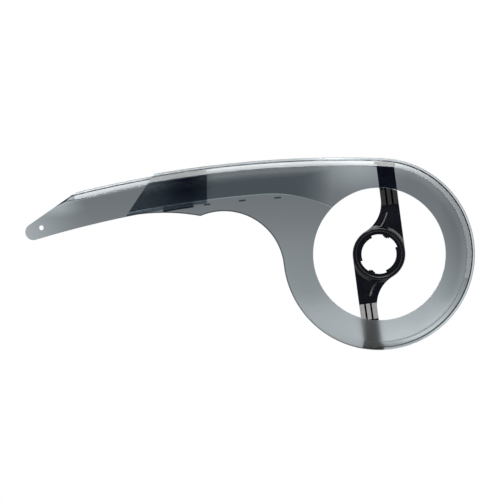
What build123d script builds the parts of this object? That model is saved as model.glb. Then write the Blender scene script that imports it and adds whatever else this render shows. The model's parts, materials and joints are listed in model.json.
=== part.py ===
"""Chain guard for a bicycle: a clear smoked shell, its sliding rear extension and a black carrier bracket.

Frame: the origin is on the crank axis, in the seat plane of the bracket's hub. X points to the front of
the bicycle, Z up, and Y towards the frame, so the guard is seen from outside when looking along +Y.
"""
from build123d import *
import os
from math import asin, atan2, cos, degrees, radians, sin, sqrt, tan

# Driving dimensions, in millimetres and degrees

# Common wall, corner rounds and clearances of the clear pieces
wall = 1.4
edge_round = 0.6
slide_gap = 0.35
seat_gap = 0.3

# Depths, measured outwards from the hub's seat plane
guard_depth = 27.0
rim_rear_depth = 5.0

# Ring round the chainring
ring_radius = 100.0
opening_radius = 68.8
opening_chamfer = 0.4
rim_end_angle = 190.0

# Rim: bevel between face and rim, and the lip on the rim's rear edge
bevel_width = 5.8
bevel_depth = 6.0
lip_width = 2.6

# Curved rail along which the rear extension slides
rail_radius = 1155.0
rail_lean = 1.98

# Mouth of the shell, cut at a slant
mouth_angle = 9.86
mouth_lean = 33.4

# Thickened sleeve behind the face, its run-out into the ring and the line cut along its lower border
pad_thickness = 1.3
pad_height = 35.2
pad_feather = 13.0
pad_runout_angle = 4.34
pad_runout_radius = 139.0
pad_ramp_start = 92.0
pad_ramp_length = 60.0
line_width = 1.0
line_depth = 0.5

# Lower outline of the web between sleeve and ring; the arch's crown sinks below the ring's top
hollow_radius = 62.4
hollow_drop = 6.3
arch_radius = 211.0
arch_reach = 223.5
arch_sink = 57.1
border_width = 1.3

# Guides under the extension's lower edge: a long one that hooks behind it, then a row of short ones
long_guide_angle = 8.9
long_guide_length = 32.0
long_guide_width = 2.0
guide_nose = 2.7
short_guide_angle = 7.35
short_guide_length = 7.0
short_guide_width = 1.7
short_guide_pitch = 1.894
short_guide_count = 3

# Rear extension, thickened at its inner end
extension_height = 36.5
extension_bevel = 5.5
extension_lip = 2.2
extension_inner_reach = 179.2
end_pad_thickness = 1.1
end_pad_start = 262.0
end_pad_ramp_length = 56.0

# Tip of the extension: slanted brow with a rib, and a tab that bends towards the frame
tip_angle = 16.71
tip_radius = 8.6
tip_slope = 34.8
brow_rib_start = 33.0
brow_rib_length = 24.0
brow_rib_width = 2.0
brow_rib_depth = 6.0
tab_bend_length = 46.0
tab_lean = 13.5
tab_straight = 5.8
screw_radius = 2.5
screw_angle = 16.25
screw_height = 10.4

# Bracket hub, clamped between the bottom bracket cup and the frame
hub_radius = 27.5
collar_width = 4.1
collar_height = 6.5
collar_round = 1.3
collar_gusset = 2.2
flange_thickness = 2.5
notch_radius = 20.5
tooth_radius = 18.2
tooth_step = 0.9
long_teeth = ((68, 157), (248, 337))
short_teeth = ((12, 32), (192, 212))

# Bracket arms
arm_lean = 7.6
arm_width = 18.2
arm_thickness = 3.0
arm_root_radius = 34.0
joggle_start = 49.7
joggle_length = 16.4
joggle_step = 5.5
groove_width = 2.0
groove_depth = 1.9
cross_groove_width = 1.5
cross_groove_depth = 1.0
rib_offset = 7.6
rib_width = 2.8
rib_height = 1.6
rib_reach = 42.0
foot_width = 22.0
foot_thickness = 2.8
foot_depth = 8.0
foot_lip_thickness = 1.4
foot_lip_inset = 0.7
nose_width = 8.0
nose_depth = 4.0

# Places worked out from the driving dimensions

FAR = 2 * rail_radius
face_front = -guard_depth
face_back = face_front + wall
sleeve_back = face_back + pad_thickness
rim_rear = -rim_rear_depth
rim_inset = lip_width + wall
bevel_inset = lip_width + bevel_width
rail_face_radius = rail_radius - bevel_inset
ring_face_radius = ring_radius - bevel_inset
tangent_direction = (sin(radians(rail_lean)), cos(radians(rail_lean)))
rail_centre = tuple((ring_radius - rail_radius) * part for part in tangent_direction)
pad_edge_radius = rail_radius - pad_height
arch_centre = (-arch_reach, ring_radius - arch_sink - arch_radius)
extension_front = sleeve_back + slide_gap
extension_back = extension_front + wall
extension_rim_radius = rail_radius - rim_inset - slide_gap
extension_edge_radius = extension_rim_radius + extension_lip - extension_height
guide_top_radius = extension_edge_radius - slide_gap
arm_back = -joggle_step
arm_rear_edge = hub_radius - arm_width
foot_radius = ring_radius - rim_inset - seat_gap


def on_rail(radius, angle):
    """Point (x, z) at a radius from the rail centre, at an angle behind the vertical."""
    turn = radians(angle)
    return rail_centre[0] - radius * sin(turn), rail_centre[1] + radius * cos(turn)


def disc(radius, centre=(0, 0)):
    """Filled circle in the picture plane."""
    return Pos(*centre) * Circle(radius)


def area(*corners):
    """Filled polygon."""
    return make_face(Polyline(*corners, close=True))


def slab(outline, front, back):
    """Outline of the picture plane, extruded between two depths along Y."""
    return extrude(Plane.XZ.offset(-back) * outline, amount=back - front)


def half_plane(point, direction):
    """Large area on the right-hand side of a directed line in the picture plane."""
    along = Vector(*direction).normalized() * FAR
    aside = Vector(along.Y, -along.X)
    base = Vector(*point)
    corners = (base - along, base + along, base + along + aside, base - along + aside)
    return area(*[(corner.X, corner.Y) for corner in corners])


def eased_cut(full, gone):
    """Area to cut off a pad, above an S curve from its full height to where it has run out."""
    step = gone[0] - full[0]
    past = gone[0] + step
    top = full[1] + wall
    curve = Spline(full, gone, tangents=[(step, 0), (step, 0)])
    frame = Polyline(gone, (past, gone[1]), (past, top), (full[0], top), full)
    return make_face([*curve.edges(), *frame.edges()])


def inset_path(path, distance):
    """Open path moved sideways to its left by a distance, with mitred corners."""
    moved = []
    steps = [(Vector(*b) - Vector(*a)).normalized() for a, b in zip(path, path[1:])]
    for index, point in enumerate(path):
        before = steps[max(index - 1, 0)]
        after = steps[min(index, len(steps) - 1)]
        sides = Vector(-before.Y, before.X), Vector(-after.Y, after.X)
        mitre = (sides[0] + sides[1]) * (distance / (1 + sides[0].dot(sides[1])))
        moved.append((point[0] + mitre.X, point[1] + mitre.Y))
    return moved


def rim_section(start_radius, bevel, rim_radius, lip_radius, front, rear):
    """Section (radius, depth) of face, bevel, rim and rear lip, one wall thick, rounded behind the face."""
    outside = [
        (start_radius, front),
        (rim_radius - bevel, front),
        (rim_radius, front + bevel * bevel_depth / bevel_width),
        (rim_radius, rear),
    ]
    inside = inset_path(outside, wall)
    lip = [(rim_radius, rear - wall), (lip_radius, rear - wall), (lip_radius, rear)]
    corners = outside[:-1] + lip + inside[::-1]
    sharp = (*outside[:2], inside[0], inside[-1])
    rounds = [0 if corner in sharp else edge_round for corner in corners]
    return make_face(FilletPolyline(*corners, radius=rounds, close=True))


def swept(section, centre, start_angle, arc):
    """Section (radius, depth) turned about a Y axis, clockwise from an angle behind the vertical."""
    turn = radians(start_angle)
    outward = Vector(-sin(turn), 0, cos(turn))
    origin = (centre[0], 0, centre[1])
    plane = Plane(origin=origin, x_dir=outward, z_dir=outward.cross(Vector(0, 1, 0)))
    return revolve(plane * section, axis=Axis(origin, (0, 1, 0)), revolution_arc=arc)


def rail_block(angle, length, low, high, front, back):
    """Block on the rail, centred at an angle, between two radii and two depths."""
    arc = degrees(length / high)
    section = area((low, front), (high, front), (high, back), (low, back))
    return swept(section, rail_centre, angle + arc / 2, arc)


def mouth_side():
    """Area in front of the slanted mouth, which the shell keeps."""
    lean = radians(mouth_lean)
    return half_plane(on_rail(rail_radius, mouth_angle), (sin(lean), cos(lean)))


def hollow_centre():
    """Centre of the hollow under the web, whose circle touches the ring's."""
    reach = ring_radius + hollow_radius
    drop = radians(hollow_drop)
    return -reach * cos(drop), -reach * sin(drop)


def foot_angle():
    """Angle in front of the vertical at which an arm meets the rim."""
    offset = hub_radius - arm_width / 2
    along = sqrt(foot_radius ** 2 - offset ** 2)
    return degrees(atan2(offset, along)) - arm_lean


def nose_cutter(margin):
    """Block through the rim for one foot's nose, grown by a margin on its sides."""
    half_width = nose_width / 2 + margin
    middle = arm_back - foot_depth / 2
    half_depth = nose_depth / 2 + margin
    outline = area(
        (-half_width, foot_radius - foot_thickness / 2),
        (half_width, foot_radius - foot_thickness / 2),
        (half_width, ring_radius - lip_width),
        (-half_width, ring_radius - lip_width),
    )
    block = slab(outline, middle - half_depth, middle + half_depth)
    return Rot(0, foot_angle(), 0) * block


def both_ends(piece):
    """Piece at the top and its twin, half a turn round the crank axis."""
    return piece + Rot(0, 180, 0) * piece


def arch(radius):
    """Arch under the sleeve, as far as the hollow."""
    return disc(radius, arch_centre) & half_plane(hollow_centre(), (0, -1))


def web_outline():
    """Flat face between mouth and ring, below the rail's bevel."""
    lean = radians(mouth_lean)
    mouth_top = on_rail(rail_radius, mouth_angle)
    mouth_low = (mouth_top[0] - pad_height * 2 * tan(lean), mouth_top[1] - pad_height * 2)
    top = (0, 2 * ring_radius)
    cover = area(arch_centre, hollow_centre(), (0, 0), top, (mouth_low[0], top[1]), mouth_low)
    kept = cover & disc(rail_face_radius - wall / 2, rail_centre) & mouth_side()
    return kept - disc(hollow_radius, hollow_centre()) - arch(arch_radius)


def lower_ring_outline():
    """Rimless part of the ring, from the rim's end round to where the web covers it."""
    end = radians(rim_end_angle)
    rim_end = (2 * ring_radius * sin(end), 2 * ring_radius * cos(end))
    far_side = -2 * ring_radius
    return disc(ring_radius) & area((0, 0), rim_end, (far_side, far_side), (far_side, opening_radius))


def border_outline():
    """Strip along the lower edge of web and ring, which is thickened."""
    hollow = hollow_centre()
    widened = disc(hollow_radius + border_width, hollow) + arch(arch_radius + border_width)
    edge_of_web = web_outline() & widened
    edge_of_ring = lower_ring_outline() & half_plane((0, 0), (-hollow[0], -hollow[1]))
    return edge_of_web + (edge_of_ring - disc(ring_radius - border_width))


def runout_centre():
    """Centre of the arc on which the sleeve's border runs out into the ring."""
    return on_rail(pad_edge_radius - pad_runout_radius, pad_runout_angle)


def sleeve_outline():
    """Thickened part of the face: above the arc line and its run-out into the ring."""
    rail_point = on_rail(pad_edge_radius, pad_runout_angle)
    inward = (rail_centre[0] - rail_point[0], rail_centre[1] - rail_point[1])
    behind = half_plane(rail_point, inward)
    below = (disc(pad_edge_radius, rail_centre) & behind) + disc(pad_runout_radius, runout_centre())
    back, front = -rail_radius / 2, pad_ramp_length - pad_ramp_start
    strip = area((back, 0), (front, 0), (front, ring_radius), (back, ring_radius))
    return (strip & disc(rail_face_radius, rail_centre) & mouth_side()) - below


def sleeve():
    """Sleeve pad, eased out under the bevel and where it joins the ring."""
    sunk = face_back - wall / 4
    pad = slab(sleeve_outline(), sunk, sleeve_back)
    ramp = eased_cut((-pad_ramp_start, sleeve_back), (pad_ramp_length - pad_ramp_start, sunk))
    feather = eased_cut((rail_face_radius - pad_feather, sleeve_back), (rail_face_radius, sunk))
    pad -= extrude(ramp, amount=2 * ring_radius)
    return pad - swept(feather, rail_centre, mouth_angle + mouth_lean, 2 * mouth_lean)


def border_line():
    """Fine V groove in the face along the sleeve's lower border."""
    beyond_mouth = mouth_angle + mouth_lean / 2
    sweeps = (
        (pad_edge_radius, rail_centre, beyond_mouth, beyond_mouth - pad_runout_angle),
        (pad_runout_radius, runout_centre(), pad_runout_angle, mouth_lean),
    )
    cuts = []
    for radius, centre, start, arc in sweeps:
        low, high = radius - line_width / 2, radius + line_width / 2
        section = area(
            (low, face_front - wall),
            (high, face_front - wall),
            (high, face_front),
            (radius, face_front + line_depth),
            (low, face_front),
        )
        cuts.append(swept(section, centre, start, arc))
    return cuts


def long_guide():
    """Guide under the extension's lower edge, with a nose that hooks behind it."""
    low = guide_top_radius - long_guide_width
    nose_front = extension_back + slide_gap
    nose_back = nose_front + wall
    nose_top = guide_top_radius + slide_gap + guide_nose
    place = long_guide_angle, long_guide_length, low
    stem = rail_block(*place, guide_top_radius, face_front + wall / 2, nose_back)
    return stem + rail_block(*place, nose_top, nose_front, nose_back)


def short_guide(angle):
    """Short block under the extension's lower edge."""
    low = guide_top_radius - short_guide_width
    back = extension_front + wall / 2
    return rail_block(angle, short_guide_length, low, guide_top_radius, face_front + wall / 2, back)


def front_shell():
    """Clear shell: ring, web and sleeve, with bevel, rim and rear lip, in one moulding."""
    beyond_mouth = mouth_angle + mouth_lean / 2
    face = web_outline() + disc(ring_face_radius - wall / 2) + lower_ring_outline()
    shell = slab(face, face_front, face_back)
    rims = []
    for radius in (rail_radius, ring_radius):
        start = radius - bevel_inset - 2 * wall
        rims.append(rim_section(start, bevel_width, radius - lip_width, radius, face_front, rim_rear))
    rail_part = swept(rims[0], rail_centre, beyond_mouth, beyond_mouth + rail_lean)
    shell += rail_part & slab(mouth_side(), face_front - wall, 0)
    shell += swept(rims[1], (0, 0), -rail_lean, rim_end_angle - rail_lean)
    shell += slab(border_outline(), face_front, sleeve_back)
    shell += sleeve()
    shell += long_guide()
    for index in range(short_guide_count):
        shell += short_guide(short_guide_angle - index * short_guide_pitch)
    for groove in border_line():
        shell -= groove
    flare = opening_radius + opening_chamfer + wall
    opening = area(
        (0, face_front - wall),
        (flare, face_front - wall),
        (opening_radius, face_front + opening_chamfer),
        (opening_radius, 0),
        (0, 0),
    )
    shell -= swept(opening, (0, 0), 0, 360)
    return shell - both_ends(nose_cutter(seat_gap))


def screw_place():
    """Point (x, z) of the screw hole on the tab's front."""
    return on_rail(extension_edge_radius + screw_height, screw_angle)


def bend_end():
    """Plan point (x, y) of the extension's front where its bend ends, inboard of the screw."""
    offset = tab_bend_length * tan(radians(tab_lean / 2))
    return screw_place()[0] + tab_straight, extension_front + offset


def bent_strip(depth):
    """Extension's face in plan, straight and then bent towards the frame, with a depth behind its front."""
    lean = radians(tab_lean)
    origin = (0, extension_front)
    end = bend_end()
    start = (end[0] + tab_bend_length, extension_front)
    length = tab_bend_length + 2 * tip_radius
    tail = (end[0] - length * cos(lean), end[1] + length * sin(lean))
    front = [Line(origin, start), TangentArc(start, end, tangent=(-1, 0)), Line(end, tail)]
    back = [Pos(0, depth) * edge for edge in front]
    sides = [Line(point, (point[0], point[1] + depth)) for point in (origin, tail)]
    return extrude(make_face([*front, *back, *sides]), amount=ring_radius)


def screw_hole():
    """Hole square to the leaning tab."""
    lean = radians(tab_lean)
    x, z = screw_place()
    front = (x, bend_end()[1] + tab_straight * tan(lean), z)
    plane = Plane(origin=front, z_dir=(-sin(lean), -cos(lean), 0))
    return extrude(plane * Circle(screw_radius), amount=2 * wall, both=True)


def behind_inner_end():
    """Area behind the upright inner end of the extension's face."""
    return half_plane((-extension_inner_reach, 0), (0, -1))


def end_pad():
    """Pad behind the extension's inner end, eased out towards the mouth."""
    sunk = extension_back - wall / 4
    full = extension_back + end_pad_thickness
    low = extension_edge_radius + guide_nose + 2 * slide_gap
    high = extension_rim_radius - extension_bevel
    section = area((low, sunk), (high, sunk), (high, full), (low, full))
    arc = degrees(end_pad_start / rail_radius) - degrees(-rail_centre[0] / rail_radius)
    pad = swept(section, rail_centre, arc, arc) & slab(behind_inner_end(), face_front, 0)
    ramp = eased_cut((end_pad_ramp_length - end_pad_start, full), (-end_pad_start, sunk))
    return pad - extrude(ramp, amount=2 * ring_radius)


def face_envelope(rear):
    """Section (radius, depth) that bounds the extension's face, up to the middle of the bevel's wall."""
    bevel_top = extension_rim_radius - wall / 2
    bevel_foot = bevel_top - extension_bevel
    return area(
        (extension_edge_radius, extension_front - wall),
        (bevel_foot, extension_front - wall),
        (bevel_foot, extension_front),
        (bevel_top, extension_front + extension_bevel * bevel_depth / bevel_width),
        (bevel_top, rear),
        (extension_edge_radius, rear),
    )


def rear_extension():
    """Clear tail that slides in the sleeve: face, bevel, rim and lip, ending in a bent screw tab."""
    rear = rim_rear + slide_gap + wall
    rim_start = extension_rim_radius - extension_bevel - 2 * wall
    rim = rim_section(
        rim_start,
        extension_bevel,
        extension_rim_radius,
        extension_rim_radius + extension_lip,
        extension_front,
        rear,
    )
    slope = radians(tip_slope)
    along = Vector(cos(slope), sin(slope))
    upward = Vector(-sin(slope), cos(slope))
    tip = Vector(*on_rail(extension_edge_radius + tip_radius, tip_angle))
    brow = tip + upward * tip_radius
    below_brow = half_plane((brow.X, brow.Y), (along.X, along.Y))
    ahead_of_tip = half_plane((tip.X, tip.Y), (upward.X, upward.Y))
    outline = (below_brow & ahead_of_tip) + disc(tip_radius, (tip.X, tip.Y))
    beyond_tip = 2 * tip_angle
    face = swept(face_envelope(rear), rail_centre, beyond_tip, beyond_tip)
    body = bent_strip(wall) & face & slab(outline & behind_inner_end(), face_front, 0)
    rim_end = degrees(asin((extension_inner_reach + rail_centre[0]) / rim_start))
    rim_part = swept(rim, rail_centre, tip_angle, tip_angle - rim_end)
    body += rim_part & bent_strip(guard_depth) & slab(below_brow, face_front, 0)
    rib_middle = brow + along * (brow_rib_start + brow_rib_length / 2) - upward * brow_rib_width
    rib_ends = [brow + along * (brow_rib_start + length) for length in (0, brow_rib_length)]
    rib = area(*[(point.X, point.Y) for point in (rib_ends[0], rib_middle, rib_ends[1])])
    body += bent_strip(brow_rib_depth) & slab(rib, face_front, 0)
    return body + end_pad() - screw_hole()


def tooth(first, last, radius):
    """Sector of the toothed ring between two angles in front of the vertical, down to a radius."""
    turns = [radians(angle) for angle in (first, (first + last) / 2, last)]
    rays = [(hub_radius * 2 * sin(turn), hub_radius * 2 * cos(turn)) for turn in turns]
    return (disc(notch_radius + wall) - disc(radius)) & area((0, 0), *rays)


def tooth_ring():
    """Toothed ring that keys on the frame, with notches, long teeth and stepped short teeth."""
    ring = disc(hub_radius) - disc(notch_radius)
    for first, last in long_teeth:
        ring += tooth(first, last, tooth_radius)
    for first, last in short_teeth:
        quarter = (last - first) / 4
        ring += tooth(first, last, tooth_radius + tooth_step)
        ring += tooth(first + quarter, last - quarter, tooth_radius)
    return ring


def arm_frame():
    """Unit vectors across and along the top arm, in the picture plane."""
    lean = radians(arm_lean)
    return Vector(cos(lean), sin(lean)), Vector(-sin(lean), cos(lean))


def arm_point(offset, distance):
    """Point of the picture plane at an offset across the arm and a distance along it."""
    across, along = arm_frame()
    point = across * offset + along * distance
    return point.X, point.Y


def arm_area(low, high, start, end):
    """Rectangle between two offsets across the arm and two distances along it."""
    return area(arm_point(low, start), arm_point(high, start), arm_point(high, end), arm_point(low, end))


def arm_solid(profile, low, high):
    """Side profile (distance along the arm, depth), spread between two offsets across the arm."""
    across, along = arm_frame()
    origin = (across.X * high, 0, across.Y * high)
    plane = Plane(origin=origin, x_dir=(along.X, 0, along.Y), z_dir=(-across.X, 0, -across.Y))
    return extrude(plane * area(*profile), amount=high - low)


def joggled(reach):
    """Side profile of the joggled arm, out to a distance either way."""
    back = [(-reach, 0), (joggle_start, 0), (joggle_start + joggle_length, arm_back), (reach, arm_back)]
    front = [(distance, depth - arm_thickness) for distance, depth in back]
    return front + back[::-1]


def root_centre():
    """Offset and distance of the centre of the round between the hub and the arm's rear edge."""
    offset = arm_rear_edge - arm_root_radius
    return offset, sqrt((hub_radius + arm_root_radius) ** 2 - offset ** 2)


def arm_outline():
    """Outline of the top arm with its rounded root."""
    offset, distance = root_centre()
    centre = arm_point(offset, distance)
    root = area((0, 0), centre, arm_point(arm_rear_edge, distance), arm_point(arm_rear_edge, 0))
    root -= disc(arm_root_radius, centre)
    straight = arm_area(arm_rear_edge, hub_radius, 0, 2 * foot_radius)
    return ((straight + root) & disc(foot_radius)) - disc(hub_radius - collar_width / 2)


def arm_grooves():
    """Two V grooves along the joggle and a square one across its start."""
    across, along = arm_frame()
    start = along * joggle_start
    plane = Plane(origin=(start.X, 0, start.Y), x_dir=(across.X, 0, across.Y), z_dir=(along.X, 0, along.Y))
    rise = Vector(along.X * joggle_length, arm_back, along.Y * joggle_length)
    deep = groove_depth - arm_thickness
    clear = -groove_depth - arm_thickness
    cuts = []
    for share in (1, 2):
        middle = arm_rear_edge + arm_width * share / 3
        section = area((middle - groove_width, clear), (middle, deep), (middle + groove_width, clear))
        cuts.append(extrude(plane * section, amount=rise.length + groove_depth, dir=rise))
    cross = [
        (joggle_start - cross_groove_width, -arm_thickness - wall),
        (joggle_start, -arm_thickness - wall),
        (joggle_start, -arm_thickness + cross_groove_depth),
        (joggle_start - cross_groove_width, -arm_thickness + cross_groove_depth),
    ]
    return cuts + [arm_solid(cross, 0, 2 * hub_radius)]


def root_rib():
    """Ridge that curves from the collar into the arm, round the same centre as the root."""
    middle = arm_root_radius + rib_offset
    foot = -arm_thickness / 2
    rise = rib_height + arm_thickness / 2
    half = rib_width / 2 * rise / rib_height
    section = area((middle - half, foot), (middle, foot - rise), (middle + half, foot))
    ridge = swept(section, arm_point(*root_centre()), 0, 180)
    bounds = arm_area(-hub_radius, hub_radius, 0, rib_reach) & arm_outline()
    return ridge & slab(bounds, -guard_depth, 0)


def foot_area():
    """Picture-plane area of a foot at the top, before it is cut to its place."""
    half = foot_width / 2
    bounds = area((-half, 0), (half, 0), (half, 2 * foot_radius), (-half, 2 * foot_radius))
    return bounds - disc(foot_radius - foot_thickness)


def arm_foot():
    """Foot that lies in the rim, with its nose."""
    back = rim_rear + seat_gap + foot_lip_thickness
    shoe = slab(foot_area() & disc(foot_radius), arm_back - foot_depth, back)
    return Rot(0, foot_angle(), 0) * shoe + nose_cutter(0)


def lower_lip():
    """Lip of the lower foot, behind the rim's own lip."""
    front = rim_rear + seat_gap
    lip = slab(foot_area() & disc(ring_radius - foot_lip_inset), front, front + foot_lip_thickness)
    return Rot(0, 180 + foot_angle(), 0) * lip


def carrier_arm():
    """Top arm: rounded root, gusset at the collar, grooved joggle, ridge and foot."""
    outline = arm_outline()
    reach = 2 * foot_radius
    arm = slab(outline, -guard_depth, 0) & arm_solid(joggled(reach), -reach, reach)
    gusset = area(
        (hub_radius - collar_width / 2, -arm_thickness / 2),
        (hub_radius + collar_gusset + arm_thickness / 2, -arm_thickness / 2),
        (hub_radius, -arm_thickness - collar_gusset),
        (hub_radius - collar_width / 2, -arm_thickness - collar_gusset),
    )
    arm += swept(gusset, (0, 0), 0, 360) & slab(outline, -guard_depth, 0)
    arm += root_rib()
    for groove in arm_grooves():
        arm -= groove
    return arm + arm_foot()


def carrier_bracket():
    """Black bracket: toothed hub with a raised, rounded collar, and two arms that carry the shell."""
    collar = area(
        (hub_radius - collar_width, 0),
        (hub_radius, 0),
        (hub_radius, -collar_height),
        (hub_radius - collar_width, -collar_height),
    )
    collar = fillet(collar.vertices().group_by(Axis.Y)[0], collar_round)
    hub = slab(tooth_ring(), -flange_thickness, 0) + swept(collar, (0, 0), 0, 360)
    return hub + both_ends(carrier_arm()) + lower_lip()


os.makedirs("parts", exist_ok=True)
for make_piece in (front_shell, rear_extension, carrier_bracket):
    export_step(make_piece(), f"parts/{make_piece.__name__}.step")
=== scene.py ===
"""Looks of the clear smoked chain guard: finishes, studio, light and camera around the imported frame."""
import json
import logging
import math
from dataclasses import dataclass, field
from enum import Enum
from typing import Any, Sequence

import bpy
import numpy as np
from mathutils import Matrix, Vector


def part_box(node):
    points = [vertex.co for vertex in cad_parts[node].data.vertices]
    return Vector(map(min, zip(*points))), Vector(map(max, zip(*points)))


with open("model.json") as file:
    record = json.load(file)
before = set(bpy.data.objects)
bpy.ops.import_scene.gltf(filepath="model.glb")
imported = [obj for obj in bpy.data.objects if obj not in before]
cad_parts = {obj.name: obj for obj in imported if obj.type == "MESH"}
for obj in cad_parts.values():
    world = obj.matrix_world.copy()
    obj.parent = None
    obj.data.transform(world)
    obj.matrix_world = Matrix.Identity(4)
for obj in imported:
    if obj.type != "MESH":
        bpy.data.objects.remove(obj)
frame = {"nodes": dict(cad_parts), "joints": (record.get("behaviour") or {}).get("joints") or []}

LOG = logging.getLogger("chain_guard")
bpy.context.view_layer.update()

Colour = tuple[float, float, float]
Point = tuple[float, float, float]
Flat = tuple[float, float]
Span = tuple[float, float]
Stop = tuple[float, float]
Socket = bpy.types.NodeSocket

WHITE = (1.0, 1.0, 1.0, 1.0)
# Place (x, z) of the crank axis, and the reach by which distances come out in metres
CRANK_AXIS: Flat = (0.0, 0.0)
METRES: Flat = (1.0, 1.0)
# Places along X between which the painted light on the sheet behind the shell goes over into that behind the
# tail
TAIL_START: Span = (-0.225, -0.250)
# Values between which the flow noise mostly lies
FLOW_SPAN: Span = (0.3, 0.7)
# Count of mirrorings above which light has been mirrored at least once
MIRRORED = 0.5


class Node(Enum):
    """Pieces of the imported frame, by the names that the frame gives them."""

    SHELL = "front_shell"
    EXTENSION = "rear_extension"
    BRACKET = "carrier_bracket"


def opaque(colour: Colour) -> tuple[float, float, float, float]:
    """Colour with a full alpha channel, as colour sockets take it."""
    return (*colour, 1.0)


@dataclass(frozen=True)
class ShaderTree:
    """Shorthand for adding nodes and links to one node tree.

    Attributes:
        tree: The node tree that receives the nodes.
    """

    tree: bpy.types.NodeTree

    def feed(self, socket: Socket, value: Any) -> None:
        """Link an output to a socket, or set the socket's own value.

        Args:
            socket: The input socket.
            value: Output to link, or value to set.
        """
        if isinstance(value, Socket):
            self.tree.links.new(value, socket)
        else:
            socket.default_value = value

    def fill(self, node: bpy.types.Node, sockets: dict[str, Any]) -> None:
        """Set or link a node's inputs, by their names with underscores for spaces."""
        for name, value in sockets.items():
            self.feed(node.inputs[name.replace("_", " ")], value)

    def add(self, kind: str, **sockets: Any) -> bpy.types.Node:
        """Add a node and set or link its inputs.

        Args:
            kind: Node type, such as ShaderNodeMath.
            **sockets: Input names with underscores for spaces; a value is set, an output is linked.

        Returns:
            The new node.
        """
        node = self.tree.nodes.new(kind)
        self.fill(node, sockets)
        return node

    def group(self, shared: bpy.types.NodeTree, **sockets: Any) -> bpy.types.Node:
        """Place a shared node group and set or link its inputs.

        Args:
            shared: The node group.
            **sockets: Its inputs, as add takes them.

        Returns:
            The new node.
        """
        node = self.add("ShaderNodeGroup")
        node.node_tree = shared
        self.fill(node, sockets)
        return node

    def math(self, operation: str, first: Any, second: Any = 0.0) -> Socket:
        """Result of a two-input math node.

        Args:
            operation: Name of the operation, such as MULTIPLY.
            first: Value or output for the first input.
            second: Value or output for the second input.

        Returns:
            The node's output.
        """
        node = self.add("ShaderNodeMath")
        node.operation = operation
        self.feed(node.inputs[0], first)
        self.feed(node.inputs[1], second)
        return node.outputs[0]

    def vector(self, operation: str, first: Any, second: Point = (0.0, 0.0, 0.0)) -> Socket:
        """Number that a vector math node gives, such as a distance or a dot product.

        Args:
            operation: Name of the operation, such as DISTANCE.
            first: Vector output for the first input.
            second: Vector for the second input.

        Returns:
            The node's value output.
        """
        node = self.add("ShaderNodeVectorMath")
        node.operation = operation
        self.feed(node.inputs[0], first)
        node.inputs[1].default_value = second
        return node.outputs["Value"]

    def ranged(self, value: Any, low: Any, high: Any, to_low: Any, to_high: Any,
               course: str = "SMOOTHSTEP") -> Socket:
        """Map of a value from one range to another, clamped at its ends.

        Args:
            value: Output to map.
            low: Start of the range read.
            high: End of the range read.
            to_low: Result at its start.
            to_high: Result at its end.
            course: Kind of the map between them.

        Returns:
            The mapped output.
        """
        node = self.add("ShaderNodeMapRange")
        node.interpolation_type = course
        for index, part in enumerate((value, low, high, to_low, to_high)):
            self.feed(node.inputs[index], part)
        return node.outputs[0]

    def both(self, first: Socket, second: Socket) -> Socket:
        """Mask that is full where two masks are: their product."""
        return self.math("MULTIPLY", first, second)

    def blend(self, value: Any, target: Any, mask: Socket) -> Socket:
        """Value that goes over into a target: the value, and the mask's share of their difference."""
        step = self.math("MULTIPLY", mask, self.math("SUBTRACT", target, value))
        return self.math("ADD", value, step)

    def place(self) -> Socket:
        """Object coordinates, in metres."""
        return self.add("ShaderNodeTexCoord").outputs["Object"]

    def along(self, axis: str) -> Socket:
        """One object coordinate, along X, Y or Z."""
        return self.add("ShaderNodeSeparateXYZ", Vector=self.place()).outputs[axis]

    def apart(self, centre: Flat, reach: Flat) -> Socket:
        """Distance from a point of the X-Z plane, as a share of the reach along each axis.

        Args:
            centre: The point (x, z).
            reach: The length along X and along Z that counts as 1.

        Returns:
            Output of the distance.
        """
        (x, z), (wide, high) = centre, reach
        place = self.add("ShaderNodeMapping", Vector=self.place())
        place.inputs["Location"].default_value = (-x / wide, 0.0, -z / high)
        place.inputs["Scale"].default_value = (1.0 / wide, 0.0, 1.0 / high)
        return self.vector("LENGTH", place.outputs["Vector"])

    def bump(self, height: Socket, distance: float = 1.0) -> Socket:
        """Normal of a skin with a relief, where a height of 1 stands for the distance in metres."""
        return self.add("ShaderNodeBump", Strength=1.0, Distance=distance, Height=height).outputs["Normal"]


def empty_tree(owner: bpy.types.Material | bpy.types.World) -> ShaderTree:
    """Node tree of a material or a world, without its first nodes.

    Args:
        owner: The material or world.

    Returns:
        Shorthand for its tree.
    """
    owner.use_nodes = True
    owner.node_tree.nodes.clear()
    return ShaderTree(owner.node_tree)


def new_group(name: str, given: Sequence[str], made: Sequence[str]) -> tuple[bpy.types.NodeTree, ShaderTree]:
    """Empty shader node group with number sockets.

    Args:
        name: Name of the group.
        given: Names of its inputs.
        made: Names of its outputs.

    Returns:
        The group and shorthand for its tree.
    """
    group = bpy.data.node_groups.new(name, "ShaderNodeTree")
    for label in given:
        group.interface.new_socket(label, in_out="INPUT", socket_type="NodeSocketFloat")
    for label in made:
        group.interface.new_socket(label, in_out="OUTPUT", socket_type="NodeSocketFloat")
    return group, ShaderTree(group)


def new_material(name: str) -> tuple[bpy.types.Material, ShaderTree, bpy.types.Node, bpy.types.Node]:
    """Node material with only a principled shader.

    Args:
        name: Name of the material.

    Returns:
        The material, its tree, its principled shader and its output node.
    """
    material = bpy.data.materials.new(name)
    tree = empty_tree(material)
    shader = tree.add("ShaderNodeBsdfPrincipled")
    output = tree.add("ShaderNodeOutputMaterial", Surface=shader.outputs["BSDF"])
    return material, tree, shader, output


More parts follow.
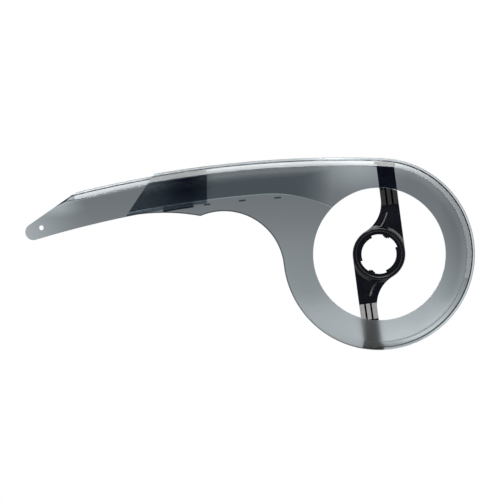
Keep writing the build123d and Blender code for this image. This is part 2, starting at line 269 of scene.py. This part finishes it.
@dataclass(frozen=True)
class GuardEdge:
    """Outer edge of the guard: a long rail arc over the tail that runs into the ring.

    Attributes:
        rail_centre: Centre (x, z) of the rail arc, on which the slide turns.
        ring_radius: Radius of the ring about the crank axis.
    """

    rail_centre: Flat
    ring_radius: float

    @classmethod
    def of_frame(cls) -> "GuardEdge":
        """Edge as the frame's joint and the shell's box give it."""
        x, _, z = frame["joints"][0]["pos_m"]
        return cls((x, z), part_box(Node.SHELL.value)[1][0])

    def rail_reach(self) -> float:
        """Distance of the rail's centre from the crank axis."""
        return math.hypot(*self.rail_centre)

    def inset_group(self) -> bpy.types.NodeTree:
        """Shared measure of how far a point lies inside the outer edge.

        Behind the line through both centres the edge is the rail arc, and before it the ring, so the inset
        is that circle's radius less the distance from its centre.

        Returns:
            Group with the input Drop, by which the edge lies lower, and the output Inset, in metres.
        """
        group, tree = new_group("edge_inset", ("Drop",), ("Inset",))
        drop = tree.add("NodeGroupInput").outputs["Drop"]
        place = tree.add("ShaderNodeSeparateXYZ", Vector=tree.place())
        flat = tree.add("ShaderNodeCombineXYZ", X=place.outputs["X"], Z=place.outputs["Z"]).outputs["Vector"]
        x, z = self.rail_centre
        reach = self.rail_reach()
        rail = tree.math("SUBTRACT", reach + self.ring_radius, tree.vector("DISTANCE", flat, (x, 0.0, z)))
        ring = tree.math("SUBTRACT", self.ring_radius, tree.vector("LENGTH", flat))
        ahead = tree.vector("DOT_PRODUCT", flat, (-z / reach, 0.0, x / reach))
        ahead = tree.math("GREATER_THAN", ahead, 0.0)
        tree.add("NodeGroupOutput", Inset=tree.math("SUBTRACT", tree.blend(rail, ring, ahead), drop))
        return group


def moulded_surface() -> bpy.types.NodeTree:
    """Shared effect of a moulded plastic surface: slow flow waves and a fine grain.

    Returns:
        Group with inputs Flow Scale and Grain Scale and outputs Flow and Grain, both from 0 to 1.
    """
    group, tree = new_group("moulded_surface", ("Flow Scale", "Grain Scale"), ("Flow", "Grain"))
    given = tree.add("NodeGroupInput")
    place = tree.place()
    flow = tree.add("ShaderNodeTexNoise", Vector=place, Scale=given.outputs["Flow Scale"], Detail=1.0)
    grain = tree.add("ShaderNodeTexNoise", Vector=place, Scale=given.outputs["Grain Scale"], Detail=3.0)
    tree.add("NodeGroupOutput", Flow=flow.outputs["Fac"], Grain=grain.outputs["Fac"])
    return group


@dataclass(frozen=True)
class Effects:
    """Node groups that the finishes share.

    Attributes:
        surface: The moulded_surface group.
        inset: The edge_inset group.
    """

    surface: bpy.types.NodeTree
    inset: bpy.types.NodeTree


@dataclass(frozen=True)
class SmokedPlastic:
    """Clear polished plastic that a grey dye darkens with depth.

    Attributes:
        name: Name of the material.
        drop: How far this piece's outer edge lies below the guard's, in metres.
        lip: Width of the lip along its edge.
        bevel: Inset of the bevel's inner edge.
        haze: Roughness of the frosted foot of the ring, 0 where there is none.
        bead_slope: Slope of the rounded lip at its sides.
        through: Share of light left by one wall, for red, green and blue.
        wall: Thickness that this share is for, in metres.
        dye_margin: Density of the dye over its strongest absorption, so that no part of its colour is 0.
        refraction: Index of refraction.
        roughness: Least and greatest roughness over the surface.
        flow_scale: Flow waves for each metre.
        waviness: Height of the flow waves, in metres.
        turned: Least share along Y of a normal that looks forwards or backwards.
        level: Share along Y of a normal above which the skin is the face's, not the bevel's.
        corner_slope: Slope by which the bevel's back is flattened where it meets the face's back.
        corner_reach: Width over which that flattening runs out.
        corner_step: How far inside the bevel's inner edge this corner lies.
        seam_slope: Slope by which the bevel is flattened beside the lip, where it runs over into the rim.
        seam_widths: Width of that flattened seam along the tail and at the front of the ring.
        seam_ends: Places along X between which it widens.
        haze_heights: Heights at which the frosting starts and is full.
        haze_rim_heights: Heights at which it starts and is full on the bevel and the lip.
    """

    name: str
    drop: float
    lip: float
    bevel: float
    haze: float = 0.0
    bead_slope: float = 0.0
    through: Colour = (0.385, 0.427, 0.447)
    wall: float = 0.0014
    dye_margin: float = 1.25
    refraction: float = 1.585
    roughness: Span = (0.015, 0.05)
    flow_scale: float = 45.0
    waviness: float = 2.0e-6
    turned: float = 0.5
    level: float = 0.95
    corner_slope: float = 0.6
    corner_reach: float = 0.0016
    corner_step: float = 0.0006
    seam_slope: float = 1.2
    seam_widths: Span = (0.0006, 0.0011)
    seam_ends: Span = (-0.020, 0.050)
    haze_heights: Span = (-0.030, -0.064)
    haze_rim_heights: Span = (-0.082, -0.096)

    def absorption(self) -> tuple[Colour, float]:
        """Colour and density of the dye, from the light that one wall lets through.

        Returns:
            Colour of the absorption and its density for each metre, after Beer's law.
        """
        strengths = [-math.log(share) / self.wall for share in self.through]
        density = max(strengths) * self.dye_margin
        return tuple(1.0 - strength / density for strength in strengths), density

    def sides(self, tree: ShaderTree) -> tuple[Socket, Socket]:
        """Masks of the wall's front and of its sloping back.

        From inside the wall the normal is turned round, and so is a height's sign. Each mask therefore
        carries the sign by which a height counts outwards.

        Args:
            tree: Tree of the material.

        Returns:
            Outputs for the front and for the sloping back: 1 or -1 there, and 0 elsewhere.
        """
        skin = tree.add("ShaderNodeNewGeometry")
        outward = tree.ranged(skin.outputs["Backfacing"], 0.0, 1.0, 1.0, -1.0, "LINEAR")
        facing = tree.add("ShaderNodeSeparateXYZ", Vector=skin.outputs["True Normal"]).outputs["Y"]
        facing = tree.math("MULTIPLY", facing, outward)
        front = tree.math("LESS_THAN", facing, -self.turned)
        back = tree.both(tree.math("GREATER_THAN", facing, self.turned),
                         tree.math("LESS_THAN", facing, self.level))
        return tree.both(front, outward), tree.both(back, outward)

    def corner(self, tree: ShaderTree, inset: Socket, back: Socket) -> Socket:
        """Height that turns the bevel's back towards the face's back at its inner edge.

        It is half a parabola over its reach, and goes on past the edge, so that its slope is full there.

        Args:
            tree: Tree of the material.
            inset: Distance inside the outer edge.
            back: Mask of the sloping back.

        Returns:
            Output of the height, in metres.
        """
        aside = tree.math("SUBTRACT", self.bevel + self.corner_step, inset)
        share = tree.ranged(aside, self.corner_reach, -self.corner_reach, 0.0, 2.0, "LINEAR")
        rise = tree.math("MULTIPLY", back, self.corner_slope * self.corner_reach / 2)
        return tree.math("MULTIPLY", tree.math("MULTIPLY", share, share), rise)

    def bead(self, tree: ShaderTree, inset: Socket) -> Socket:
        """Height of the rounded lip, which is a parabola over its width."""
        across = tree.math("SUBTRACT", tree.math("MINIMUM", inset, self.lip), self.lip / 2)
        return tree.math("MULTIPLY", tree.math("MULTIPLY", across, across), -self.bead_slope / self.lip)

    def seam(self, tree: ShaderTree, inset: Socket, front: Socket) -> Socket:
        """Height of the seam beside the lip, through which the eye looks along the rim's wall.

        It is a straight rise towards the lip, over the seam's width.

        Args:
            tree: Tree of the material.
            inset: Distance inside the outer edge.
            front: Mask of the front.

        Returns:
            Output of the height, in metres.
        """
        width = tree.ranged(tree.along("X"), *self.seam_ends, *self.seam_widths)
        gap = tree.math("SUBTRACT", tree.math("ADD", width, self.lip), inset)
        gap = tree.math("MINIMUM", tree.math("MAXIMUM", gap, 0.0), width)
        return tree.math("MULTIPLY", gap, tree.math("MULTIPLY", front, self.seam_slope))

    def relief(self, tree: ShaderTree, inset: Socket, flow: Socket) -> Socket:
        """Height of the skin: flow waves, seam, corner and rounded lip.

        Args:
            tree: Tree of the material.
            inset: Distance inside the outer edge.
            flow: Flow waves, from 0 to 1.

        Returns:
            Output of the height, in metres.
        """
        front, back = self.sides(tree)
        waves = tree.math("MULTIPLY", flow, self.waviness)
        inner = tree.math("ADD", waves, self.seam(tree, inset, front))
        outer = tree.math("ADD", self.corner(tree, inset, back), self.bead(tree, inset))
        return tree.math("ADD", inner, outer)

    def polish(self, tree: ShaderTree, inset: Socket, flow: Socket) -> Socket:
        """Roughness of the skin, which follows the flow and rises where the foot of the ring is frosted.

        Args:
            tree: Tree of the material.
            inset: Distance inside the outer edge.
            flow: Flow waves, from 0 to 1.

        Returns:
            Output of the roughness.
        """
        polish = tree.ranged(flow, *FLOW_SPAN, *self.roughness)
        if not self.haze:
            return polish
        height = tree.along("Z")
        low = tree.ranged(height, *self.haze_heights, 0.0, self.haze)
        lowest = tree.ranged(height, *self.haze_rim_heights, 0.0, 1.0)
        frosted = tree.math("MAXIMUM", tree.math("GREATER_THAN", inset, self.bevel), lowest)
        return tree.math("ADD", polish, tree.math("MULTIPLY", low, frosted))

    def material(self, effects: Effects) -> bpy.types.Material:
        """Material of this finish.

        Args:
            effects: The shared node groups.

        Returns:
            The new material.
        """
        material, tree, shader, output = new_material(self.name)
        flow = tree.group(effects.surface, Flow_Scale=self.flow_scale).outputs["Flow"]
        inset = tree.group(effects.inset, Drop=self.drop).outputs["Inset"]
        tree.fill(shader, {
            "Base Color": WHITE,
            "IOR": self.refraction,
            "Transmission Weight": 1.0,
            "Roughness": self.polish(tree, inset, flow),
            "Normal": tree.bump(self.relief(tree, inset, flow)),
        })
        colour, density = self.absorption()
        dye = tree.add("ShaderNodeVolumeAbsorption", Color=opaque(colour), Density=density)
        tree.feed(output.inputs["Volume"], dye.outputs["Volume"])
        return material


@dataclass(frozen=True)
class BlackPlastic:
    """Black moulded plastic with a satin skin.

    Attributes:
        name: Name of the material.
        colour: Base colour.
        roughness: Least and greatest roughness over the surface.
        flow_scale: Flow waves for each metre.
        grain_scale: Grains for each metre.
        grain: Height of the fine grain, in metres.
    """

    name: str
    colour: Colour = (0.0030, 0.0033, 0.0044)
    roughness: Span = (0.13, 0.20)
    flow_scale: float = 60.0
    grain_scale: float = 1600.0
    grain: float = 1.2e-6

    def material(self, effects: Effects) -> bpy.types.Material:
        """Material of this finish.

        Args:
            effects: The shared node groups.

        Returns:
            The new material.
        """
        material, tree, shader, _ = new_material(self.name)
        skin = tree.group(effects.surface, Flow_Scale=self.flow_scale, Grain_Scale=self.grain_scale)
        tree.fill(shader, {
            "Base Color": opaque(self.colour),
            "Roughness": tree.ranged(skin.outputs["Flow"], *FLOW_SPAN, *self.roughness),
            "Normal": tree.bump(skin.outputs["Grain"], self.grain),
        })
        return material


@dataclass
class MouldedPiece:
    """One moulded piece of the frame with its finish.

    Attributes:
        node: The piece's node in the frame.
        finish: Its finish.
    """

    node: Node
    finish: SmokedPlastic | BlackPlastic

    def dress(self, effects: Effects) -> None:
        """Give the piece its finish.

        Args:
            effects: The shared node groups.
        """
        piece = frame["nodes"][self.node.value]
        piece.data.materials.clear()
        piece.data.materials.append(self.finish.material(effects))
        LOG.info("dressed %s in %s", self.node.value, self.finish.name)


@dataclass
class PhotoCamera:
    """Camera square to the guard's face, far away behind a long lens.

    Attributes:
        picture: Width and height of the picture, in pixels.
        pixel: Size of one pixel at the face, in metres.
        crank: Pixel on which the crank axis falls.
        distance: Distance from the face, in metres.
        view_end: End of the view, as a multiple of this distance.
        sensor: Width of the sensor, in millimetres.
    """

    picture: int = 500
    pixel: float = 0.00104
    crank: Flat = (379.3, 254.1)
    distance: float = 10.0
    view_end: float = 10.0
    sensor: float = 36.0

    def build(self) -> None:
        """Make the camera and give it to the scene."""
        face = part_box(Node.SHELL.value)[0][1]
        data = bpy.data.cameras.new("photo_camera")
        data.sensor_width = self.sensor
        data.lens = self.sensor * self.distance / (self.picture * self.pixel)
        data.clip_end = self.distance * self.view_end
        camera = bpy.data.objects.new("photo_camera", data)
        middle = self.picture / 2
        across = (middle - self.crank[0]) * self.pixel
        up = (self.crank[1] - middle) * self.pixel
        camera.location = (across, face - self.distance, up)
        camera.rotation_euler = (math.pi / 2, 0.0, 0.0)
        bpy.context.scene.collection.objects.link(camera)
        bpy.context.scene.camera = camera


def stage_surface(name: str, grid: np.ndarray) -> bpy.types.Object:
    """Stage piece from a grid of points, with a face in each cell.

    Args:
        name: Name of the piece.
        grid: Points, as rows by columns by 3.

    Returns:
        The new object, marked as stage.
    """
    rows, columns = grid.shape[:2]
    corner = np.arange(rows * columns).reshape(rows, columns)
    faces = np.stack((corner[:-1, :-1], corner[:-1, 1:], corner[1:, 1:], corner[1:, :-1]), axis=-1)
    mesh = bpy.data.meshes.new(name)
    mesh.from_pydata(grid.reshape(-1, 3).tolist(), [], faces.reshape(-1, 4).tolist())
    piece = bpy.data.objects.new(name, mesh)
    bpy.context.scene.collection.objects.link(piece)
    return piece


def upright(across: Span, heights: Span, depth: float) -> np.ndarray:
    """Grid of an upright rectangle: each end across at each height, all at one depth."""
    x, z = np.meshgrid(across, heights)
    return np.stack((x, np.full_like(x, depth), z), axis=-1)


class Shown(Enum):
    """How a glowing piece of the stage is seen, by the names of Blender's switches for it."""

    REFLECTED = ("visible_glossy",)
    THROUGH_PLASTIC = ("visible_transmission",)
    BOTH = ("visible_glossy", "visible_transmission")


def glow_tree(piece: bpy.types.Object, shown: Shown) -> tuple[ShaderTree, bpy.types.Node]:
    """Make a stage piece glow and show it only as told.

    Args:
        piece: The stage piece.
        shown: How it is seen.

    Returns:
        The tree of its new material and its emission shader.
    """
    material = bpy.data.materials.new(piece.name)
    tree = empty_tree(material)
    light = tree.add("ShaderNodeEmission")
    tree.add("ShaderNodeOutputMaterial", Surface=light.outputs["Emission"])
    piece.data.materials.append(material)
    piece.visible_camera = piece.visible_diffuse = piece.visible_shadow = False
    for switch in Shown.BOTH.value:
        setattr(piece, switch, switch in shown.value)
    return tree, light


@dataclass(frozen=True)
class SheetSpot:
    """Where a point of the sheet lies, as outputs of its material's tree.

    Attributes:
        across: Place along X.
        height: Place along Z.
        inset: Distance inside the guard's outer edge.
    """

    across: Socket
    height: Socket
    inset: Socket


@dataclass(frozen=True)
class Glow:
    """Soft round patch of painted light on the sheet, or of painted shadow where its gain is below 0.

    Attributes:
        centre: Its middle (x, z), in metres.
        reach: How far it reaches along X and along Z.
        gain: Brightness that it adds in the middle.
    """

    centre: Flat
    reach: Flat
    gain: float

    def patch(self, tree: ShaderTree) -> Socket:
        """Brightness of the patch, which falls off smoothly to its reach."""
        return tree.ranged(tree.apart(self.centre, self.reach), 1.0, 0.0, 0.0, self.gain)


@dataclass(frozen=True)
class BorderLight:
    """Painted light on the sheet behind the border of the ring's front.

    Attributes:
        insets: Insets between which the border gets lighter.
        stop: Insets between which that ends under the bevel.
        side: Places along X between which it starts.
        low: Heights between which the values for the ring's front go over into those lower down.
        gains: Share of the brightness that it adds, at the ring's front and lower down.
        under: How much further it goes under the bevel lower down.
        brim_insets: Insets between which the sheet gets lighter still behind the lower bevel.
        brim_heights: Heights between which that starts.
        brim_gain: Share of the brightness that this adds.
    """

    insets: Span = (0.016, 0.0095)
    stop: Span = (0.0070, 0.0095)
    side: Span = (-0.010, 0.020)
    low: Span = (-0.010, -0.050)
    gains: Span = (0.24, 0.08)
    under: float = 0.0045
    brim_insets: Span = (0.0118, 0.0092)
    brim_heights: Span = (-0.020, -0.075)
    brim_gain: float = 0.46

    def gain(self, tree: ShaderTree, spot: SheetSpot) -> Socket:
        """Share of the brightness that the light adds.

        Args:
            tree: Tree of the sheet's material.
            spot: Place on the sheet.

        Returns:
            Output of the share.
        """
        most = tree.ranged(spot.height, *self.low, *self.gains)
        border = tree.ranged(spot.inset, *self.insets, 0.0, most)
        brim = tree.both(tree.ranged(spot.inset, *self.brim_insets, 0.0, self.brim_gain),
                         tree.ranged(spot.height, *self.brim_heights, 0.0, 1.0))
        under = tree.math("ADD", spot.inset, tree.ranged(spot.height, *self.low, 0.0, self.under))
        shown = tree.both(tree.ranged(under, *self.stop, 0.0, 1.0),
                          tree.ranged(spot.across, *self.side, 0.0, 1.0))
        return tree.math("MULTIPLY", tree.math("ADD", border, brim), shown)


@dataclass(frozen=True)
class EdgeLeak:
    """Painted light on the sheet, for light that leaks in under the guard's outer edge.

    Attributes:
        starts: Insets at which it starts, at shell and tail.
        full: Inset at which it is full.
        ends: Places along X between which it ends on the ring.
        glare: Brightness of the sheet where it falls.
    """

    starts: Span = (0.0085, 0.0128)
    full: float = 0.0035
    ends: Span = (0.075, 0.020)
    glare: float = 1.32

    def lit(self, tree: ShaderTree, spot: SheetSpot, shade: Socket) -> Socket:
        """Brightness of the sheet with this light.

        Args:
            tree: Tree of the sheet's material.
            spot: Place on the sheet.
            shade: Brightness without it.

        Returns:
            Output of the brightness.
        """
        start = tree.ranged(spot.across, *TAIL_START, *self.starts)
        leak = tree.both(tree.ranged(spot.inset, start, self.full, 0.0, 1.0),
                         tree.ranged(spot.across, *self.ends, 0.0, 1.0))
        return tree.blend(shade, self.glare, leak)


@dataclass(frozen=True)
class OpenSheet:
    """Painted bright part of the sheet outside the guard's painted shadow, behind the lip.

    Attributes:
        insets: Insets between which the sheet comes out of the shadow.
        drop: How far lower that is along the tail.
        glares: Brightness of the sheet outside the shadow, at shell and tail.
    """

    insets: Span = (0.0022, 0.0004)
    drop: float = 0.0022
    glares: Span = (1.55, 2.4)

    def lit(self, tree: ShaderTree, spot: SheetSpot, shade: Socket) -> Socket:
        """Brightness of the sheet with its open part.

        Args:
            tree: Tree of the sheet's material.
            spot: Place on the sheet.
            shade: Brightness without it.

        Returns:
            Output of the brightness.
        """
        lower = tree.math("SUBTRACT", spot.inset, tree.ranged(spot.across, *TAIL_START, 0.0, self.drop))
        glare = tree.ranged(spot.across, *TAIL_START, *self.glares)
        return tree.blend(shade, glare, tree.ranged(lower, *self.insets, 0.0, 1.0))


@dataclass(frozen=True)
class FootShade:
    """Painted shade on the sheet behind the edge of the ring's foot.

    Attributes:
        distances: Distances from the crank axis between which it starts.
        heights: Heights between which it starts.
        shade: Brightness of the sheet there.
    """

    distances: Span = (0.0958, 0.0982)
    heights: Span = (-0.078, -0.095)
    shade: float = 0.70

    def lit(self, tree: ShaderTree, spot: SheetSpot, shade: Socket) -> Socket:
        """Brightness of the sheet with this shade.

        Args:
            tree: Tree of the sheet's material.
            spot: Place on the sheet.
            shade: Brightness without it.

        Returns:
            Output of the brightness.
        """
        away = tree.apart(CRANK_AXIS, METRES)
        foot = tree.both(tree.ranged(away, *self.distances, 0.0, 1.0),
                         tree.ranged(spot.height, *self.heights, 0.0, 1.0))
        return tree.blend(shade, self.shade, foot)


@dataclass(frozen=True)
class PaintedShadowSheet:
    """Glowing sheet close behind the guard, seen only through the clear plastic, with the guard's soft
    shadow and patches of light painted into its brightness.

    Attributes:
        depth: Its place along Y.
        middle: Its middle (x, z).
        reach: Half its width and half its height, at which it is plain white.
        plain_start: Share of this reach at which it starts to go over into plain white.
        heights: Heights at which the painted shadow starts and is full.
        shades: Brightness of the sheet at these heights.
        flank: Places along X between which the painted shadow deepens.
        flank_share: Share of the brightness left there.
        border: Painted light behind the ring's border.
        leak: Painted light under the outer edge.
        opening: Painted bright part outside the shadow.
        foot: Painted shade behind the ring's foot.
        glows: Painted patches of light and of deeper shadow on it.
        glint: Painted highlight behind the lip at the top of the ring.
    """

    depth: float = 0.03
    middle: Flat = (-0.134, 0.0)
    reach: Flat = (0.55, 0.40)
    plain_start: float = 0.75
    heights: Span = (-0.115, 0.070)
    shades: Span = (1.10, 0.44)
    flank: Span = (0.055, 0.090)
    flank_share: float = 0.70
    border: BorderLight = BorderLight()
    leak: EdgeLeak = EdgeLeak()
    opening: OpenSheet = OpenSheet()
    foot: FootShade = FootShade()
    # Painted light at the ring's top, at the tail's end, under the tail's brow and at the ring's foot;
    # painted shadow at the ring's lower left and where the walls overlap
    glows: tuple[Glow, ...] = (
        Glow((-0.020, 0.098), (0.060, 0.045), 0.48),
        Glow((-0.400, 0.020), (0.103, 0.100), 0.62),
        Glow((-0.337, 0.050), (0.034, 0.014), 0.42),
        Glow((0.012, -0.105), (0.060, 0.055), 0.27),
        Glow((-0.075, -0.045), (0.055, 0.065), -0.13),
        Glow((-0.201, 0.076), (0.034, 0.034), -0.45),
    )
    # Painted highlight in place of a lamp's reflection on the lip at the top of the ring
    glint: Glow = Glow((-0.041, 0.102), (0.034, 0.006), 1.5)

    def shadow(self, tree: ShaderTree, spot: SheetSpot) -> Socket:
        """Painted brightness of the guard's shadow, with the painted light behind the ring's border.

        Args:
            tree: Tree of the sheet's material.
            spot: Place on the sheet.

        Returns:
            Output of the brightness.
        """
        shade = tree.ranged(spot.height, *self.heights, *self.shades)
        shade = tree.math("MULTIPLY", shade, tree.ranged(spot.across, *self.flank, 1.0, self.flank_share))
        return tree.math("MULTIPLY", shade, tree.math("ADD", self.border.gain(tree, spot), 1.0))

    def build(self, inset: bpy.types.NodeTree) -> None:
        """Make the sheet, with the shade and light painted into its glow.

        Args:
            inset: The edge_inset group.
        """
        (x, z), (wide, high) = self.middle, self.reach
        grid = upright((x - wide, x + wide), (z - high, z + high), self.depth)
        tree, light = glow_tree(stage_surface("painted_shadow_sheet", grid), Shown.THROUGH_PLASTIC)
        spot = SheetSpot(tree.along("X"), tree.along("Z"), tree.group(inset).outputs["Inset"])
        # Painted shadow of the guard, then painted leaks, glows, open edge, glint and foot shade over it
        total = self.leak.lit(tree, spot, self.shadow(tree, spot))
        for glow in self.glows:
            total = tree.math("ADD", total, glow.patch(tree))
        total = tree.math("ADD", self.opening.lit(tree, spot, total), self.glint.patch(tree))
        total = self.foot.lit(tree, spot, total)
        inside = tree.ranged(tree.apart(self.middle, self.reach), 1.0, self.plain_start, 0.0, 1.0)
        tree.feed(light.inputs["Strength"], tree.blend(1.0, total, inside))


@dataclass(frozen=True)
class LightArch:
    """Long bent soft light over the guard, which the bevel and the lip mirror.

    Attributes:
        radius: Its distance from the crank axis.
        depths: Its front and rear edge, along Y.
        stops: Angles in front of the vertical, in degrees, and its brightness there.
        steps: Faces along the arch.
    """

    radius: float = 1.1
    depths: Span = (-0.25, 0.15)
    stops: tuple[Stop, ...] = (
        (-80.0, 5.9), (-27.0, 5.9), (-20.0, 5.1), (-14.0, 6.5), (-8.0, 6.7), (-3.0, 6.2),
        (2.0, 7.2), (8.0, 7.2), (16.0, 4.7), (42.0, 3.1), (92.0, 2.0), (105.0, 1.9),
    )
    steps: int = 60

    def build(self) -> None:
        """Make the arch: points at one radius, turned from the first angle to the last, at both depths."""
        first, last = (math.radians(self.stops[end][0]) for end in (0, -1))
        turn, depth = np.meshgrid(np.linspace(first, last, self.steps + 1), self.depths, indexing="ij")
        grid = np.stack((self.radius * np.sin(turn), depth, self.radius * np.cos(turn)), axis=-1)
        tree, light = glow_tree(stage_surface("light_arch", grid), Shown.REFLECTED)
        angle = tree.math("ARCTAN2", tree.along("X"), tree.along("Z"))
        total: Any = self.stops[0][1]
        for (low, before), (high, after) in zip(self.stops, self.stops[1:]):
            step = tree.ranged(angle, math.radians(low), math.radians(high), 0.0, after - before, "LINEAR")
            total = tree.math("ADD", total, step)
        tree.feed(light.inputs["Strength"], total)


@dataclass(frozen=True)
class LightStrip:
    """Tall narrow light before the guard, which the lip mirrors at the top of the ring.

    Attributes:
        across: Its left and right end.
        heights: Its lower and upper end.
        depth: Its place along Y.
        brightness: Brightness of its face.
    """

    across: Span = (-0.060, -0.003)
    heights: Span = (0.24, 0.65)
    depth: float = -1.0
    brightness: float = 11.0

    def build(self) -> None:
        """Make the strip."""
        piece = stage_surface("light_strip", upright(self.across, self.heights, self.depth))
        _, light = glow_tree(piece, Shown.REFLECTED)
        light.inputs["Strength"].default_value = self.brightness


@dataclass(frozen=True)
class DarkWall:
    """Dim bluish wall behind the camera's side, which the polished faces mirror.

    Seen through the plastic from the frame's side, it is as white as the rest of the studio.

    Attributes:
        depth: Its place along Y.
        across: Its left and right end.
        heights: Its lower and upper end.
        tint: Colour of its light.
    """

    depth: float = -2.5
    across: Span = (-2.6, 2.4)
    heights: Span = (-1.4, 0.75)
    tint: Colour = (0.05, 0.06, 0.13)

    def build(self) -> None:
        """Make the wall."""
        piece = stage_surface("dark_wall", upright(self.across, self.heights, self.depth))
        tree, light = glow_tree(piece, Shown.BOTH)
        path = tree.add("ShaderNodeLightPath")
        mirrored = tree.math("GREATER_THAN", path.outputs["Glossy Depth"], MIRRORED)
        tone = tree.add("ShaderNodeMix")
        tone.data_type = "RGBA"
        tree.feed(tone.inputs["Factor"], mirrored)
        colours = [socket for socket in tone.inputs if socket.type == "RGBA"]
        colours[0].default_value = WHITE
        colours[1].default_value = opaque(self.tint)
        result = next(socket for socket in tone.outputs if socket.type == "RGBA")
        tree.feed(light.inputs["Color"], result)


@dataclass(frozen=True)
class SoftBox:
    """Rectangular lamp.

    Attributes:
        name: Name of the lamp.
        place: Its centre, in metres.
        target: Point that it faces.
        size: Width and height, in metres.
        radiance: Brightness of its face, where 1 is a white surface.
    """

    name: str
    place: Point
    target: Point
    size: Flat
    radiance: float

    def build(self) -> None:
        """Make the lamp and aim it."""
        data = bpy.data.lights.new(self.name, "AREA")
        data.shape = "RECTANGLE"
        data.size, data.size_y = self.size
        data.energy = self.radiance * math.pi * self.size[0] * self.size[1]
        lamp = bpy.data.objects.new(self.name, data)
        lamp.location = self.place
        gap = np.subtract(self.target, self.place)
        aside = math.hypot(gap[0], gap[1])
        turn = math.atan2(gap[1], gap[0]) - math.pi / 2 if aside else 0.0
        lamp.rotation_euler = (math.atan2(aside, -gap[2]), 0.0, turn)
        bpy.context.scene.collection.objects.link(lamp)


@dataclass
class Studio:
    """White studio: world, floor, the sheet with painted shade behind the guard, the lights over it and the
    wall before it.

    Attributes:
        floor_height: Height of the floor, in metres.
        floor_reach: Half the floor's width.
        floor_fade: Distances from the crank axis between which the eye sees the floor fade into the white.
        floor_tone: Grey of the floor.
        floor_roughness: Roughness of the floor.
        ambient: Brightness of the world for diffuse light.
        sheet: Sheet behind the guard, with painted shade and light.
        arch: Light over it.
        strip: Light before it.
        wall: Wall behind the camera's side.
        lamps: Its lamps.
    """

    floor_height: float = -0.30
    floor_reach: float = 1.2
    floor_fade: Span = (0.25, 1.1)
    floor_tone: float = 0.85
    floor_roughness: float = 0.9
    ambient: float = 0.6
    sheet: PaintedShadowSheet = field(default_factory=PaintedShadowSheet)
    arch: LightArch = field(default_factory=LightArch)
    strip: LightStrip = field(default_factory=LightStrip)
    wall: DarkWall = field(default_factory=DarkWall)
    lamps: tuple[SoftBox, ...] = (
        SoftBox("front_key", (-0.1, -1.2, 0.95), (-0.1, 0.0, 0.0), (0.9, 0.45), 7.6),
    )

    def world(self) -> None:
        """White world for what is seen directly, mirrored or through plastic; dimmer for diffuse light."""
        world = bpy.data.worlds.new("white_studio")
        tree = empty_tree(world)
        path = tree.add("ShaderNodeLightPath")
        seen = tree.math("MAXIMUM", path.outputs["Is Camera Ray"], path.outputs["Is Glossy Ray"])
        seen = tree.math("MAXIMUM", seen, path.outputs["Is Transmission Ray"])
        strength = tree.ranged(seen, 0.0, 1.0, self.ambient, 1.0)
        light = tree.add("ShaderNodeBackground", Color=WHITE, Strength=strength)
        tree.add("ShaderNodeOutputWorld", Surface=light.outputs["Background"])
        bpy.context.scene.world = world

    def floor(self) -> None:
        """Make the pale floor below the guard: each end along X at each end along Y, all at one height."""
        ends = (-self.floor_reach, self.floor_reach)
        x, y = np.meshgrid(ends, ends)
        piece = stage_surface("pale_floor", np.stack((x, y, np.full_like(x, self.floor_height)), axis=-1))
        material, tree, shader, _ = new_material("pale_floor")
        far = tree.ranged(tree.vector("LENGTH", tree.place()), *self.floor_fade, 0.0, 1.0)
        far = tree.both(far, tree.add("ShaderNodeLightPath").outputs["Is Camera Ray"])
        tree.fill(shader, {
            "Base Color": tree.ranged(far, 0.0, 1.0, self.floor_tone, 0.0),
            "Roughness": self.floor_roughness,
            "Emission Color": WHITE,
            "Emission Strength": far,
        })
        piece.data.materials.append(material)

    def build(self, effects: Effects) -> None:
        """Build the whole studio.

        Args:
            effects: The shared node groups.
        """
        self.world()
        self.floor()
        self.sheet.build(effects.inset)
        for light in (self.arch, self.strip, self.wall, *self.lamps):
            light.build()
        bpy.context.scene.view_settings.view_transform = "Standard"


def main() -> None:
    """Dress the pieces, then build the camera and the studio."""
    logging.basicConfig(level=logging.INFO)
    effects = Effects(moulded_surface(), GuardEdge.of_frame().inset_group())
    shell = SmokedPlastic("smoked_shell", drop=0.0, lip=0.0026, bevel=0.0084, haze=0.35, bead_slope=0.5)
    extension = SmokedPlastic("smoked_extension", drop=0.00215, lip=0.0022, bevel=0.0077)
    pieces = (
        MouldedPiece(Node.SHELL, shell),
        MouldedPiece(Node.EXTENSION, extension),
        MouldedPiece(Node.BRACKET, BlackPlastic("black_bracket")),
    )
    for piece in pieces:
        piece.dress(effects)
    PhotoCamera().build()
    Studio().build(effects)


if __name__ == "__main__":
    main()
